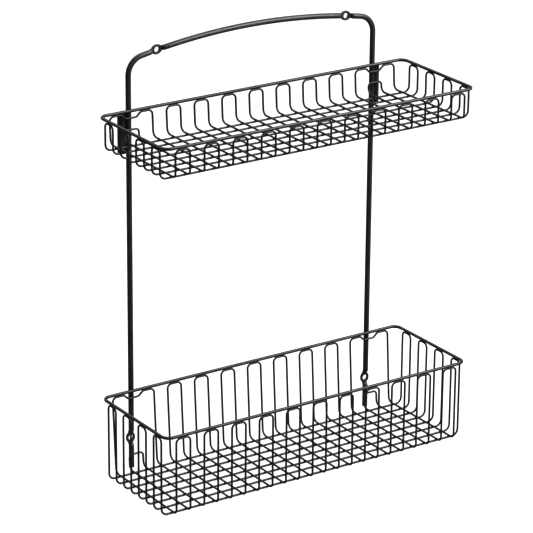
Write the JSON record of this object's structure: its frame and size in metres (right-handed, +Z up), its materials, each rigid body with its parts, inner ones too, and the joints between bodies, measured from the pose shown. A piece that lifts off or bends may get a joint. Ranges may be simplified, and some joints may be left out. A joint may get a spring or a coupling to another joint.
{
  "type": "shower caddy",
  "caption": "Two-tier wire shower caddy: a bent rod frame with a rounded arch, screw eyelets, a shallow upper basket and a deep lower basket, for hanging flat on a shower wall.",
  "frame": {"origin": "in the plane of the eyelets' backs, midway between the uprights, level with the underside of the lower basket", "axes": "+X to the right seen from the front, +Y into the wall, +Z up"},
  "size_m": [0.3964, 0.1447, 0.4849],
  "materials": {
    "frame_coat": "satin black powder coat",
    "rim_coat": "satin black powder coat",
    "wire_coat": "satin black powder coat",
    "sleeve_coat": "satin black powder coat"
  },
  "bodies": {
    "root": {"frame_rod": "frame_coat", "upper_basket_rim": "rim_coat", "upper_basket_long_wire_loop_1": "wire_coat", "upper_basket_long_wire_loop_2": "wire_coat", "upper_basket_long_wire_loop_3": "wire_coat", "upper_basket_long_wire_loop_4": "wire_coat", "upper_basket_left_end_cross_wire_loop": "wire_coat", "upper_basket_cross_wire_loop_1": "wire_coat", "upper_basket_cross_wire_loop_2": "wire_coat", "upper_basket_cross_wire_loop_3": "wire_coat", "upper_basket_cross_wire_loop_4": "wire_coat", "upper_basket_cross_wire_loop_5": "wire_coat", "upper_basket_cross_wire_loop_6": "wire_coat", "upper_basket_cross_wire_loop_7": "wire_coat", "upper_basket_right_end_cross_wire_loop": "wire_coat", "lower_basket_rim": "rim_coat", "lower_basket_long_wire_loop_1": "wire_coat", "lower_basket_long_wire_loop_2": "wire_coat", "lower_basket_long_wire_loop_3": "wire_coat", "lower_basket_long_wire_loop_4": "wire_coat", "lower_basket_left_end_cross_wire_loop": "wire_coat", "lower_basket_cross_wire_loop_1": "wire_coat", "lower_basket_cross_wire_loop_2": "wire_coat", "lower_basket_cross_wire_loop_3": "wire_coat", "lower_basket_cross_wire_loop_4": "wire_coat", "lower_basket_cross_wire_loop_5": "wire_coat", "lower_basket_cross_wire_loop_6": "wire_coat", "lower_basket_cross_wire_loop_7": "wire_coat", "lower_basket_right_end_cross_wire_loop": "wire_coat", "left_sleeve": "sleeve_coat", "right_sleeve": "sleeve_coat"}
  },
  "joints": []
}
